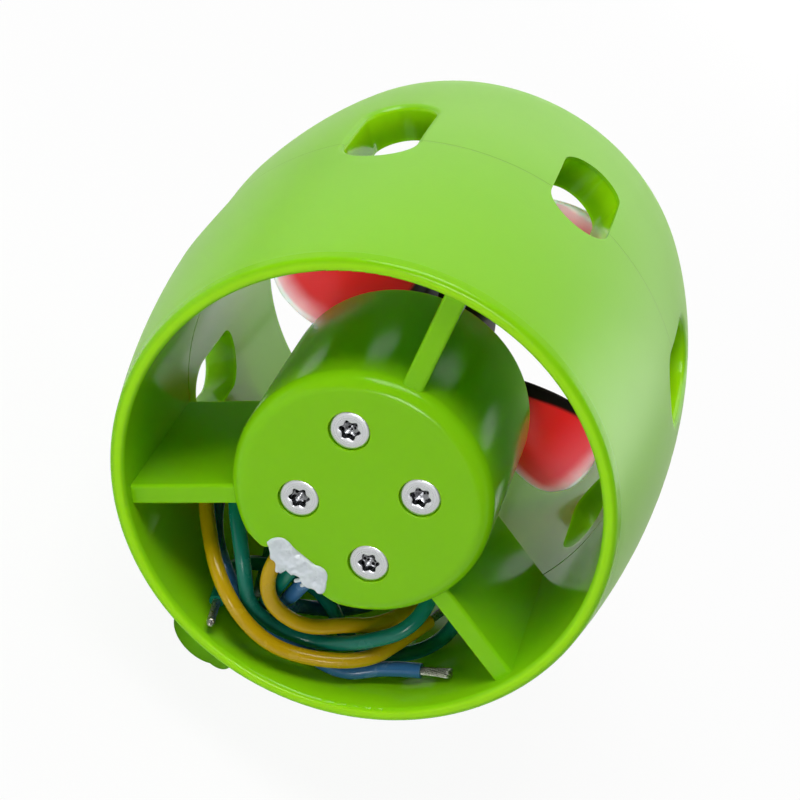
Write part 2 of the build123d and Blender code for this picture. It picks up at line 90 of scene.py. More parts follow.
def evaluated(helper):
    # The mesh of a helper object with its modifiers applied; the helper is then removed
    bpy.context.view_layer.update()
    graph = bpy.context.evaluated_depsgraph_get()
    mesh = bpy.data.meshes.new_from_object(helper.evaluated_get(graph), depsgraph=graph)
    mesh.transform(helper.matrix_world)
    bpy.data.objects.remove(helper)
    return mesh


def smoothMesh(name, work):
    # Ends the work as a mesh with smooth faces
    for face in work.faces:
        face.smooth = True
    mesh = bpy.data.meshes.new(name)
    work.to_mesh(mesh)
    work.free()
    return mesh


# Camera: its place in millimetres and its directions, in the part's own frame
camera = {"place": (-35.6, -278.8, 189.5), "forward": (0.1123, 0.8766, -0.4679),
          "up": (-0.6289, 0.4273, 0.6496), "lens": 100.2, "sensor": 36.0}
lensAxis = Vector(camera["forward"]).normalized()
cameraRight = lensAxis.cross(Vector(camera["up"])).normalized()
cameraUp = cameraRight.cross(lensAxis)
cameraPlace = Vector(camera["place"]) * mm
cameraTurn = Matrix((cameraRight, cameraUp, -lensAxis)).transposed()
cameraData = bpy.data.cameras.new("photoCamera")
cameraData.lens = camera["lens"]
cameraData.sensor_width = camera["sensor"]
cameraData.clip_start = 0.01
photoCamera = newObject("photoCamera", cameraData)
photoCamera.matrix_world = Matrix.Translation(cameraPlace) @ cameraTurn.to_4x4()
bpy.context.scene.camera = photoCamera
bpy.context.scene.view_settings.view_transform = "Standard"
print("camera placed")


def placeInMm(tree):
    coordinates = addNode(tree, "ShaderNodeTexCoord")
    return addNode(tree, "ShaderNodeVectorMath", {1: (1 / mm,) * 3}, {0: coordinates.outputs["Object"]},
                   operation="MULTIPLY").outputs[0]


def startMaterial(name, roughness, metallic=0.0):
    material = bpy.data.materials.new(name)
    material.use_nodes = True
    tree = material.node_tree
    shader = tree.nodes["Principled BSDF"]
    shader.inputs["Roughness"].default_value = roughness
    shader.inputs["Metallic"].default_value = metallic
    return material, tree, shader, placeInMm(tree)


def mixColours(tree, share, first, second):
    # Colours are hex codes or sockets, and the share is a number or a socket
    values, links = {}, {}
    for index, entry in ((0, share), (6, first), (7, second)):
        if isinstance(entry, bpy.types.NodeSocket):
            links[index] = entry
        else:
            values[index] = hexColour(entry) if isinstance(entry, str) else entry
    return addNode(tree, "ShaderNodeMix", values, links, data_type="RGBA").outputs[2]


def spread(tree, source, low, high, newLow=0.0, newHigh=1.0, smooth=True):
    # Maps a value from one range to another, clamped
    return addNode(tree, "ShaderNodeMapRange", {1: low, 2: high, 3: newLow, 4: newHigh}, {0: source},
                   interpolation_type="SMOOTHSTEP" if smooth else "LINEAR").outputs[0]


def grain(tree, place, cycles, detail=3.0):
    # Noise value with so many cycles for each millimetre
    return addNode(tree, "ShaderNodeTexNoise", {"Scale": cycles, "Detail": detail},
                   {"Vector": place}).outputs["Fac"]


def combine(tree, operation, first, second=0.0):
    values, links = {}, {}
    for index, entry in enumerate((first, second)):
        if isinstance(entry, bpy.types.NodeSocket):
            links[index] = entry
        else:
            values[index] = entry
    return addNode(tree, "ShaderNodeMath", values, links, operation=operation).outputs[0]


def times(tree, first, second):
    return combine(tree, "MULTIPLY", first, second)


def plus(tree, first, second):
    return combine(tree, "ADD", first, second)


def minus(tree, first, second):
    return combine(tree, "SUBTRACT", first, second)


def axisReach(tree, place):
    # Distance from the thrust axis, and station along it, both in millimetres
    fromRim = addNode(tree, "ShaderNodeVectorMath", {1: rimCentre / mm}, {0: place}, operation="SUBTRACT")
    flat = addNode(tree, "ShaderNodeVectorMath", {1: (1.0, 0.0, 1.0)}, {0: fromRim.outputs[0]},
                   operation="MULTIPLY")
    reach = addNode(tree, "ShaderNodeVectorMath", None, {0: flat.outputs[0]}, operation="LENGTH")
    along = addNode(tree, "ShaderNodeSeparateXYZ", None, {0: fromRim.outputs[0]})
    return reach.outputs["Value"], along.outputs["Y"]


def attributeValue(tree, name):
    return addNode(tree, "ShaderNodeAttribute", attribute_name=name).outputs["Fac"]


def addFinish(tree, shader, colour, roughness=None, shine=None):
    for name, value in (("Base Color", colour), ("Roughness", roughness), ("Specular IOR Level", shine)):
        if value:
            tree.links.new(value, shader.inputs[name])


def addBump(tree, shader, height, strength, depth):
    bump = addNode(tree, "ShaderNodeBump", {"Strength": strength, "Distance": depth * mm},
                   {"Height": height})
    tree.links.new(bump.outputs[0], shader.inputs["Normal"])


def addScatter(shader, weight, colours, reach):
    # Light that sinks in and comes out again up to some millimetres away
    shader.inputs["Subsurface Weight"].default_value = weight
    shader.inputs["Subsurface Radius"].default_value = colours
    shader.inputs["Subsurface Scale"].default_value = reach * mm


# Turned metal: fine rings from the cutting tool catch the light across their lay
def turnedMetal(name, colour, darker, roughness, rings=6.0):
    material, tree, shader, place = startMaterial(name, roughness, 1.0)
    reach = attributeValue(tree, "reach")
    lay = addNode(tree, "ShaderNodeCombineXYZ", None, {0: reach})
    tool = grain(tree, lay.outputs[0], rings, 2.0)
    smear = grain(tree, place, 0.6)
    tint = mixColours(tree, smear, colour, darker)
    addFinish(tree, shader, tint, spread(tree, tool, 0.3, 0.7, roughness - 0.06, roughness + 0.1))
    addBump(tree, shader, tool, 0.25, 0.02)
    return material


# Any other metal or solid with a plain cast, stamped, plated or moulded surface
def plainSurface(name, colour, darker, roughness, metallic, cycles, depth):
    material, tree, shader, place = startMaterial(name, roughness, metallic)
    speckle = grain(tree, place, cycles)
    patches = grain(tree, place, cycles / 8)
    tint = mixColours(tree, patches, colour, darker)
    addFinish(tree, shader, tint, spread(tree, speckle, 0.3, 0.7, roughness - 0.07, roughness + 0.09))
    addBump(tree, shader, speckle, 0.3, depth)
    return material


# Stacked laminations: dark lines across the axis every half millimetre
def stackedSteel(name, colour, gap, pitch):
    material, tree, shader, place = startMaterial(name, 0.42, 1.0)
    reach, along = axisReach(tree, place)
    phase = combine(tree, "FRACT", combine(tree, "DIVIDE", along, pitch))
    line = spread(tree, combine(tree, "ABSOLUTE", minus(tree, phase, 0.5)), 0.38, 0.5)
    addFinish(tree, shader, mixColours(tree, line, colour, gap))
    addBump(tree, shader, minus(tree, 1.0, line), 0.5, 0.05)
    return material


# Silicone insulation: smooth and slightly dusty, so its highlight breaks up and its colour is uneven
def siliconeSleeve(name, colour, dusty):
    material, tree, shader, place = startMaterial(name, 0.26)
    dust = spread(tree, grain(tree, place, 0.35, 6.0), 0.5, 0.72)
    tint = mixColours(tree, times(tree, dust, 0.3), colour, dusty)
    addFinish(tree, shader, tint, spread(tree, dust, 0.0, 1.0, 0.2, 0.36))
    shader.inputs["Specular IOR Level"].default_value = 0.35
    addBump(tree, shader, grain(tree, place, 2.5), 0.2, 0.03)
    return material


# Leads: the corners of each route in millimetres, from inside the sealant to the cut end, as across,
# station and height over the thrust axis
leads = {"diameter": 2.1, "strand": 0.25, "bare": 4.3, "sunk": 0.6, "twist": 0.45, "bead": 0.62,
         "beadBack": 0.5}
leadRoutes = {
    "yellow": [
        (-2.5, 1.8, -12.9), (-2.5, 1.8, -16.6), (-0.4, 1.7, -20.6), (3.1, 3.1, -22.9),
        (7.5, 4.4, -22.8), (11.5, 6.5, -19.7), (14.6, 8.9, -18.9), (17.7, 12.9, -15.7),
        (20.1, 19.9, -12.2), (19.1, 27.2, -14.8), (12.8, 30.3, -19.9), (2.5, 27.7, -22.9),
        (-7.8, 27.3, -21.1), (-13.9, 22.5, -19.9), (-15.2, 15.3, -21.8), (-10.9, 8.7, -23.2),
        (-5.8, 2.5, -24.5), (1.5, 1.8, -27.1), (8.3, 3.1, -27.1), (16.4, 4.5, -21.6),
        (18.8, 9.1, -17.5), (20.6, 14.3, -16.3)],
    "green": [
        (0.1, 2.6, -12.9), (0.1, 2.6, -16.9), (1.9, 9.6, -30.9), (-2.0, 25.9, -26.6),
        (-12.2, 21.5, -16.1), (-12.4, 9.7, -16.0), (-4.9, 3.5, -20.5), (0.3, 4.6, -27.1),
        (9.8, 6.8, -25.8), (14.0, 5.0, -20.1), (17.9, 4.8, -12.9), (16.7, 9.2, -7.3),
        (17.5, 16.4, -7.2), (22.5, 19.9, -11.1), (25.0, 17.1, -17.3), (21.1, 10.8, -21.2),
        (14.5, 11.0, -25.4), (8.4, 15.3, -24.0), (4.0, 17.6, -26.0), (-0.8, 17.2, -27.2),
        (-4.2, 13.8, -27.8), (-4.9, 9.6, -28.4), (-3.9, 5.0, -29.0)],
    "blue": [
        (2.7, 2.8, -12.9), (2.7, 2.8, -18.7), (3.6, 11.6, -27.6), (13.9, 20.2, -26.0),
        (17.2, 19.8, -14.3), (17.7, 27.9, -9.4), (13.5, 35.7, -12.2), (5.4, 35.7, -19.5),
        (-5.3, 32.1, -20.0), (-11.9, 28.1, -21.7), (-12.6, 21.4, -24.5), (-10.0, 12.0, -25.0),
        (-4.8, 6.1, -25.7), (1.4, 6.2, -28.9), (7.9, 8.0, -28.7), (15.4, 5.5, -26.1),
        (19.1, 6.8, -21.6), (23.0, 6.4, -18.1)]}
leadColours = {"yellow": ("#C29E04", "#C2A618"), "green": ("#087562", "#33887A"),
               "blue": ("#33699C", "#6C98BA")}
# How far the strands spread at the cut end, and how many there are in each ring
strandSpread = {"yellow": 1.05, "green": 0.95, "blue": 1.3}
strandRings = ((0.0, 1), (0.24, 6), (0.47, 12))
strandSteps = 8


def routeCurve(name, points):
    curve = bpy.data.curves.new(name, "CURVE")
    curve.dimensions = "3D"
    curve.resolution_u = 10
    spline = curve.splines.new("NURBS")
    spline.points.add(len(points) - 1)
    for slotPoint, point in zip(spline.points, points):
        slotPoint.co = (*(point * mm), 1.0)
    spline.order_u = 3
    spline.use_endpoint_u = True
    return curve


def centreLine(curve):
    # Points that the spline passes through, read from the curve with no bevel
    mesh = evaluated(newObject("centreLine", curve))
    points = [vertex.co.copy() for vertex in mesh.vertices]
    bpy.data.meshes.remove(mesh)
    return points


def tubeAlong(work, points, radius, sides=6):
    # A closed tube of straight runs round a list of points
    loops = []
    axis = (points[1] - points[0]).normalized()
    across = axis.orthogonal().normalized()
    for index, point in enumerate(points):
        behind = points[max(index - 1, 0)]
        ahead = points[min(index + 1, len(points) - 1)]
        axis = (ahead - behind).normalized()
        across = (across - axis * across.dot(axis)).normalized()
        beside = axis.cross(across)
        loops.append([work.verts.new(point + (across * math.cos(turn) + beside * math.sin(turn)) * radius)
                      for turn in (2 * math.pi * side / sides for side in range(sides))])
    for first, second in zip(loops, loops[1:]):
        for side in range(sides):
            following = (side + 1) % sides
            work.faces.new((first[side], first[following], second[following], second[side]))
    work.faces.new(loops[0][::-1])
    work.faces.new(loops[-1])


def bareStrands(colour, line):
    # Twisted strands that leave the sleeve along the end of the lead and open a little at the cut
    chance = random.Random(len(colour))
    end = line[-1]
    axis = (line[-1] - line[-3]).normalized()
    across = axis.orthogonal().normalized()
    beside = axis.cross(across)
    work = bmesh.new()
    for ring, count in strandRings:
        for index in range(count):
            start = 2 * math.pi * index / count + chance.uniform(-0.1, 0.1)
            reach = leads["bare"] * chance.uniform(0.93, 1.0)
            bow = chance.uniform(-0.06, 0.06)
            points = []
            for step in range(strandSteps + 1):
                share = step / strandSteps
                turn = start + leads["twist"] * share * reach
                out = ring * (1 + (strandSpread[colour] - 1) * share ** 2.2) + bow * share ** 2
                ahead = share * (reach + leads["sunk"]) - leads["sunk"]
                outward = across * math.cos(turn) + beside * math.sin(turn)
                points.append(end + (axis * ahead + outward * out) * mm)
            tubeAlong(work, points, leads["strand"] / 2 * mm)
    if colour == "green":
        # A bead of solder closes this end
        bead = end + axis * (leads["bare"] - leads["beadBack"]) * mm
        made = bmesh.ops.create_icosphere(work, subdivisions=3, radius=leads["bead"] * mm,
                                          matrix=Matrix.Translation(bead))
        for vertex in made["verts"]:
            offset = vertex.co - bead
            lumpy = offset * (1 + 0.18 * noise.noise(offset / mm * 1.3))
            vertex.co = bead + lumpy + axis * offset.dot(axis) * 0.35
    return smoothMesh("bareStrands" + colour.capitalize(), work)


tinned = plainSurface("tinnedCopperStrand", "#C9C8C2", "#8E8B82", 0.3, 1.0, 4.0, 0.01)
for colour, route in leadRoutes.items():
    corners = [stationPoint(along, across, height) for across, along, height in route]
    curve = routeCurve("lead" + colour.capitalize(), corners)
    line = centreLine(curve)
    sleeve = siliconeSleeve("silicone" + colour.capitalize(), *leadColours[colour])
    strands = addPiece("strands" + colour.capitalize(), bareStrands(colour, line), tinned, "duct",
                       "tinned_core", "tip_" + colour)
    curve.bevel_depth = leads["diameter"] / 2 * mm
    curve.bevel_resolution = 7
    curve.use_fill_caps = True
    lead = addPiece("lead" + colour.capitalize(), curve, sleeve, "duct", "lead_" + colour, "lead_" + colour)

# Shells, carried over from the CAD shape as joined meshes with smooth faces. Depths are under the outer
# skin, pairs are where a change of finish or of painted light starts and ends, and roughness and shine run from
# inside out.
# On the slots' cut faces, glow is a painted highlight near the outer skin, and the deeper colour is painted shade
shell = {"colour": "#8CD40F", "deeper": "#84CD0B", "glow": "#A6EA0E", "hollow": "#78BC08",
         "crease": "#4E8F08", "bulge": 35.5, "widest": 36.95, "sag": 3.95, "skinDepth": (0.6, 0.2),
         "cutDepth": (0.2, 0.8), "slotLightAndShadeDepth": (0.9, 4.2), "bore": (31.3, 31.8), "lip": (0.9, 2.2),
         "seam": 33.0, "seamEdge": (0.05, 0.16), "seamTint": 0.3, "seamDepth": 4.0,
         "roughness": (0.12, 0.34), "shine": (0.2, 0.55), "scatter": 0.3, "scatterReach": 2.0}


# Injection moulded plastic: a spark-eroded outer skin that scatters light softly, polished inner
# walls that shine, cut-through faces with a painted highlight outside and painted shade deeper in, and a fine seam
def mouldedShell():
    material, tree, shader, place = startMaterial("limeMouldedPlastic", 0.36)
    reach, along = axisReach(tree, place)
    fromBulge = combine(tree, "DIVIDE", minus(tree, along, shell["bulge"]), shell["bulge"])
    sag = times(tree, times(tree, fromBulge, fromBulge), shell["sag"])
    under = minus(tree, minus(tree, shell["widest"], sag), reach)
    outside = spread(tree, under, *shell["skinDepth"])
    within = times(tree, spread(tree, under, *shell["cutDepth"]), spread(tree, reach, *shell["bore"]))
    cloud = grain(tree, place, 0.05)
    erosion = grain(tree, place, 3.2, 2.0)
    tint = mixColours(tree, cloud, shell["colour"], shell["deeper"])
    # The cut faces are painted: a highlight near the outer skin, and shade further into the wall
    cut = mixColours(tree, spread(tree, under, *shell["slotLightAndShadeDepth"]), shell["glow"], shell["hollow"])
    tint = mixColours(tree, within, tint, cut)
    fromSeam = combine(tree, "ABSOLUTE", minus(tree, along, shell["seam"]))
    seam = times(tree, outside, spread(tree, fromSeam, *shell["seamEdge"], 1.0, 0.0))
    tint = mixColours(tree, times(tree, seam, shell["seamTint"]), tint, shell["crease"])
    skin = times(tree, outside, spread(tree, along, *shell["lip"]))
    satin = plus(tree, spread(tree, skin, 0.0, 1.0, *shell["roughness"]), times(tree, cloud, 0.06))
    addFinish(tree, shader, tint, satin, spread(tree, skin, 0.0, 1.0, *shell["shine"]))
    height = minus(tree, times(tree, erosion, outside), times(tree, seam, shell["seamDepth"]))
    addBump(tree, shader, height, 0.35, 0.03)
    addScatter(shader, shell["scatter"], (0.8, 1.0, 0.1), shell["scatterReach"])
    return material


def smoothCopy(node, name, material, angle=28.0):
    # One joined mesh with the same shape as the CAD node, smooth but for its real edges
    work = bmesh.new()
    work.from_mesh(frame["nodes"][node].data)
    bmesh.ops.remove_doubles(work, verts=work.verts, dist=2e-6)
    for edge in work.edges:
        edge.smooth = len(edge.link_faces) == 2 and edge.calc_face_angle(0.0) < math.radians(angle)
    return addPiece(name, smoothMesh(name, work), material, bodyOf[node], slotOf[node], node)


lime = mouldedShell()
smoothCopy("front_shell", "frontShell", lime)
smoothCopy("rear_shell", "rearShell", lime)
smoothCopy("mounting_bosses", "mountingBosses", lime)
print("shells made")

sharpAngle = 35.0


def latheMesh(name, rings, steps, closed=False):
    # Turned about local +Z from (height, radius) rings in millimetres; a radius may be a function of
    # the angle and height. The attribute reach keeps each point's distance from the axis.
    work = bmesh.new()
    reach = work.verts.layers.float.new("reach")
    loops = []
    for height, radius in rings:
        loop = []
        for step in range(steps):
            turn = 2 * math.pi * step / steps
            out = radius(turn, height) if callable(radius) else radius
            vertex = work.verts.new(Vector((out * math.cos(turn), out * math.sin(turn), height)) * mm)
            vertex[reach] = out
            loop.append(vertex)
        loops.append(loop)
    pairs = list(zip(loops, loops[1:]))
    if closed:
        pairs.append((loops[-1], loops[0]))
    else:
        work.faces.new(loops[0][::-1])
        work.faces.new(loops[-1])
    for first, second in pairs:
        for step in range(steps):
            following = (step + 1) % steps
            work.faces.new((first[step], first[following], second[following], second[step]))
    bmesh.ops.recalc_face_normals(work, faces=work.faces)
    for edge in work.edges:
        edge.smooth = edge.calc_face_angle(0.0) < math.radians(sharpAngle)
    return smoothMesh(name, work)


def threadRadius(minor, depth, pitch):
    # Radius of a helical thread, for a turned piece's rings
    def radius(turn, height):
        share = (height / pitch - turn / (2 * math.pi)) % 1
        return minor + depth * (1 - abs(2 * share - 1))
    return radius


def threadRings(low, high, pitch, radius, ringsPerTurn=6):
    count = round((high - low) / pitch * ringsPerTurn)
    return [(low + (high - low) * index / count, radius) for index in range(count + 1)]


towardsInlet = (math.pi / 2, 0.0, 0.0)
towardsOutlet = (-math.pi / 2, 0.0, 0.0)
downwards = (math.pi, 0.0, 0.0)


def nodeGroup(name, result, kinds):
    # A geometry node tree with these named inputs, and the sockets that give their values
    tree = bpy.data.node_groups.new(name, "GeometryNodeTree")
    for socketName, kind in kinds.items():
        tree.interface.new_socket(socketName, in_out="INPUT", socket_type="NodeSocket" + kind)
    tree.interface.new_socket(result, in_out="OUTPUT", socket_type="NodeSocketGeometry")
    return tree, addNode(tree, "NodeGroupInput").outputs


def throughNodes(holder, tree, values):
    # The mesh that the node tree makes of the holder, which is then removed
    modifier = holder.modifiers.new("nodes", "NODES")
    modifier.node_group = tree
    for item in tree.interface.items_tree:
        if item.in_out == "INPUT" and item.name in values:
            modifier[item.identifier] = values[item.name]
    return evaluated(holder)


# Geometry nodes that place one turned piece on every point, each turned by chance about its own axis
placing, given = nodeGroup("placeTurnedPieces", "Pieces", {
    "Points": "Geometry", "Piece": "Object", "Facing": "Vector", "Largest spin": "Float", "Seed": "Int",
    "Finish": "Material"})
source = addNode(placing, "GeometryNodeObjectInfo", None, {"Object": given["Piece"]})
chance = addNode(placing, "FunctionNodeRandomValue", {2: 0.0},
                 {3: given["Largest spin"], "Seed": given["Seed"]}, data_type="FLOAT")
spin = addNode(placing, "ShaderNodeCombineXYZ", None, {"Z": chance.outputs[1]})
placed = addNode(placing, "GeometryNodeInstanceOnPoints", None,
                 {"Points": given["Points"], "Instance": source.outputs["Geometry"],
                  "Rotation": given["Facing"]})
spun = addNode(placing, "GeometryNodeRotateInstances", None,
               {"Instances": placed.outputs[0], "Rotation": spin.outputs[0]})
real = addNode(placing, "GeometryNodeRealizeInstances", None, {0: spun.outputs[0]})
finished = addNode(placing, "GeometryNodeSetMaterial", None,
                   {0: real.outputs[0], "Material": given["Finish"]})
addNode(placing, "NodeGroupOutput", None, {0: finished.outputs[0]})


def placeTurned(name, rings, steps, points, facing, material, node, spin=0.0, seed=1, closed=False):
    # The points are in the part's own frame in millimetres, and the piece is turned about its own +Z
    carrier = bpy.data.meshes.new(name + "Points")
    carrier.from_pydata([Vector(point) * mm for point in points], [], [])
    holder = newObject(name + "Points", carrier)
    original = newObject(name + "One", latheMesh(name, rings, steps, closed))
    mesh = throughNodes(holder, placing, {"Piece": original, "Facing": facing, "Largest spin": spin,
                                          "Seed": seed, "Finish": material})
    bpy.data.objects.remove(original)
    return addPiece(name, mesh, None, bodyOf[node], slotOf[node], node)


# Motor screws: flat countersunk heads with a bright chamfered rim and a six-lobe recess
screw = {"pattern": ((135, 19.0), (-45, 19.0), (45, 16.0), (225, 16.0)), "face": 0.95, "head": 2.62,
         "chamfer": 0.16, "bevel": 0.09, "rim": 0.25, "shank": 1.5, "length": 5.4, "lobe": 1.42, "wave": 0.36,
         "depth": 1.15}
anyTurn = 6.28


def lobedRadius(largest):
    def radius(turn, height):
        return largest - screw["wave"] * (0.5 - 0.5 * math.cos(6 * turn)) ** 0.8
    return radius


screwRings = [(-screw["length"], screw["shank"] - 0.3), (-screw["length"] + 0.3, screw["shank"]),
              (-screw["rim"] - (screw["head"] - screw["shank"]), screw["shank"]),
              (-screw["rim"], screw["head"]), (-screw["chamfer"] * 0.6, screw["head"]),
              (-0.02, screw["head"] - screw["chamfer"]), (0.0, screw["head"] - screw["chamfer"] - 0.06),
              (0.0, screw["lobe"] + 0.4), (0.0, lobedRadius(screw["lobe"] + screw["bevel"] + 0.05)),
              (-screw["bevel"] * 0.5, lobedRadius(screw["lobe"] + 0.02)),
              (-screw["bevel"] * 1.5, lobedRadius(screw["lobe"])),
              (-screw["depth"], lobedRadius(screw["lobe"] - 0.08)),
              (-screw["depth"] - 0.12, 0.55), (-screw["depth"] - 0.4, 0.1)]
screwPoints = []
for angle, spacing in screw["pattern"]:
    turn = math.radians(angle)
    out = spacing / 2
    screwPoints.append(stationPoint(screw["face"], out * math.cos(turn), out * math.sin(turn)))
stainless = turnedMetal("turnedStainlessSteel", "#D8DADD", "#C2C4C9", 0.3)


# Cold-formed head: its face was turned bright, and the recess is painted near black as shade,
# with a few painted glints
def punchedHead():
    material = turnedMetal("coldFormedScrewHead", "#DCDEE1", "#CBCDD2", 0.26)
    tree = material.node_tree
    shader = tree.nodes["Principled BSDF"]
    place = placeInMm(tree)
    along = axisReach(tree, place)[1]
    reach = attributeValue(tree, "reach")
    # The sunk part of the head is painted near black as shade, with painted glints in light cells
    sunk = times(tree, spread(tree, along, screw["face"] + 0.06, screw["face"] + 0.2),
                 spread(tree, reach, screw["lobe"] + 0.15, screw["lobe"] + 0.05))
    glintCells = addNode(tree, "ShaderNodeTexVoronoi", {"Scale": 1.6}, {"Vector": place}).outputs["Distance"]
    paintedGlint = spread(tree, glintCells, 0.34, 0.42)
    recessPaintedShade = mixColours(tree, times(tree, paintedGlint, 0.6), "#161618", "#B9BBC0")
    face = shader.inputs["Base Color"].links[0].from_socket
    addFinish(tree, shader, mixColours(tree, sunk, face, recessPaintedShade))
    return material


placeTurned("motorScrews", screwRings, 96, screwPoints, towardsInlet, punchedHead(), "motor_screws",
            spin=anyTurn, seed=7)
print("motor screws placed")

# Propeller: four blades of one pitch on a turned hub. Geometry nodes wrap a grid round each blade
# section: its first side runs round the section, and its second from the root to the tip.
blades = {"count": 4, "station": 50.0, "pitch": 70.0, "root": 5.8, "tip": 29.95, "thickRoot": 2.7,
          "thickTip": 1.0, "camber": 0.06, "round": 48, "along": 44, "weld": 0.004,
          "closing": 0.985, "tipShare": 0.35, "reachLow": -4.0, "reachHigh": 12.0}
# Share of the span, and how far the leading and trailing edges reach round the hub in millimetres
bladeLead = ((0.0, 2.9), (0.17, 5.9), (0.38, 7.7), (0.59, 8.4), (0.755, 7.6), (0.88, 4.9), (0.955, 1.6),
             (1.0, -2.9))
bladeTrail = ((0.0, 2.9), (0.17, 6.3), (0.38, 9.2), (0.59, 10.9), (0.755, 11.4), (0.88, 10.6), (0.955, 8.5),
              (1.0, 3.0))
hub = {"radius": 6.9, "near": 42.5, "far": 59.5, "round": 1.2, "bore": 2.54}


def reachCurve(tree, share, points):
    # A smooth curve through the points, in millimetres
    span = blades["reachHigh"] - blades["reachLow"]
    curve = addNode(tree, "ShaderNodeFloatCurve", None, {"Value": share})
    mapping = curve.mapping.curves[0]
    for index, (x, y) in enumerate(points):
        height = (y - blades["reachLow"]) / span
        if index == 0:
            mapping.points[0].location = (x, height)
        elif index == len(points) - 1:
            mapping.points[-1].location = (x, height)
        else:
            mapping.points.new(x, height)
    curve.mapping.update()
    scaled = times(tree, curve.outputs[0], span)
    return plus(tree, scaled, blades["reachLow"])


def storeNumber(tree, geometry, name, value, domain):
    return addNode(tree, "GeometryNodeStoreNamedAttribute", {"Name": name},
                   {"Geometry": geometry, "Value": value}, data_type="FLOAT", domain=domain).outputs[0]


def propellerMesh(hubObject, material):
    tree, given = nodeGroup("wrapBlades", "Propeller", {
        "Base": "Geometry", "Hub": "Object", "Pitch": "Float", "Root": "Float", "Tip": "Float",
        "Camber": "Float", "Thick root": "Float", "Thick tip": "Float", "Finish": "Material"})
    grid = addNode(tree, "GeometryNodeMeshGrid", {"Size X": 1.0, "Size Y": 1.0,
                                                  "Vertices X": blades["round"] + 1,
                                                  "Vertices Y": blades["along"]})
    position = addNode(tree, "GeometryNodeInputPosition")
    place = addNode(tree, "ShaderNodeSeparateXYZ", None, {0: position.outputs[0]})
    turn = times(tree, plus(tree, place.outputs["X"], 0.5), 2 * math.pi)
    even = plus(tree, place.outputs["Y"], 0.5)
    # Points gather towards the tip, where the outline turns fastest
    share = combine(tree, "SINE", times(tree, even, math.pi / 2))
    span = minus(tree, given["Tip"], given["Root"])
    radius = plus(tree, given["Root"], times(tree, share, span))
    lead = reachCurve(tree, share, bladeLead)
    trail = reachCurve(tree, share, bladeTrail)
    slope = combine(tree, "ARCTAN2", given["Pitch"], times(tree, radius, 2 * math.pi))
    cosine = combine(tree, "COSINE", slope)
    sine = combine(tree, "SINE", slope)
    both = combine(tree, "MAXIMUM", plus(tree, lead, trail))
    half = combine(tree, "DIVIDE", both, times(tree, cosine, 2.0))
    middle = combine(tree, "DIVIDE", minus(tree, lead, trail), times(tree, cosine, 2.0))
    chord = combine(tree, "COSINE", turn)
    side = combine(tree, "SINE", turn)
    bow = minus(tree, 1.0, times(tree, chord, chord))
    rise = times(tree, times(tree, half, times(tree, given["Camber"], 2.0)), bow)
    thin = times(tree, minus(tree, given["Thick tip"], given["Thick root"]), share)
    thick = plus(tree, given["Thick root"], thin)
    closing = spread(tree, share, blades["closing"], 1.0, 1.0, blades["tipShare"])
    body = times(tree, times(tree, thick, closing), times(tree, side, 0.5))
    across = plus(tree, middle, times(tree, chord, half))
    height = plus(tree, rise, body)
    up = minus(tree, times(tree, across, cosine), times(tree, height, sine))
    towards = plus(tree, times(tree, across, sine), times(tree, height, cosine))
    target = addNode(tree, "ShaderNodeCombineXYZ", None,
                     {"X": radius, "Y": times(tree, towards, -1.0), "Z": up})
    inMetres = addNode(tree, "ShaderNodeVectorMath", {1: (mm,) * 3}, {0: target.outputs[0]},
                       operation="MULTIPLY")
    stored = grid.outputs["Mesh"]
    for attribute, value in (("span", radius), ("chord", chord), ("halfChord", half)):
        stored = storeNumber(tree, stored, attribute, value, "POINT")
    wrapped = addNode(tree, "GeometryNodeSetPosition", None,
                      {"Geometry": stored, "Position": inMetres.outputs[0]})
    joined = addNode(tree, "GeometryNodeMergeByDistance", {"Distance": blades["weld"] * mm},
                     {"Geometry": wrapped.outputs[0]})
    smooth = addNode(tree, "GeometryNodeSetShadeSmooth", None, {"Geometry": joined.outputs[0]})
    centre = stationPoint(blades["station"]) * mm
    hubs = addNode(tree, "GeometryNodeMeshLine", {"Count": blades["count"], "Start Location": centre,
                                                  "Offset": (0.0, 0.0, 0.0)})
    index = addNode(tree, "GeometryNodeInputIndex").outputs[0]
    quarter = times(tree, index, -2 * math.pi / blades["count"])
    aroundAxis = addNode(tree, "ShaderNodeCombineXYZ", None, {"Y": quarter})
    copies = addNode(tree, "GeometryNodeInstanceOnPoints", None,
                     {"Points": hubs.outputs[0], "Instance": smooth.outputs[0],
                      "Rotation": aroundAxis.outputs[0]})
    numbered = storeNumber(tree, copies.outputs[0], "blade", index, "INSTANCE")
    hubMesh = addNode(tree, "GeometryNodeObjectInfo", None, {"Object": given["Hub"]})
    together = addNode(tree, "GeometryNodeJoinGeometry")
    tree.links.new(numbered, together.inputs[0])
    tree.links.new(hubMesh.outputs["Geometry"], together.inputs[0])
    real = addNode(tree, "GeometryNodeRealizeInstances", None, {0: together.outputs[0]})
    finished = addNode(tree, "GeometryNodeSetMaterial", None,
                       {0: real.outputs[0], "Material": given["Finish"]})
    addNode(tree, "NodeGroupOutput", None, {0: finished.outputs[0]})

    holder = newObject("propellerHolder", bpy.data.meshes.new("propellerBase"))
    return throughNodes(holder, tree, {
        "Hub": hubObject, "Pitch": blades["pitch"], "Root": blades["root"], "Tip": blades["tip"],
        "Camber": blades["camber"], "Thick root": blades["thickRoot"], "Thick tip": blades["thickTip"],
        "Finish": material})
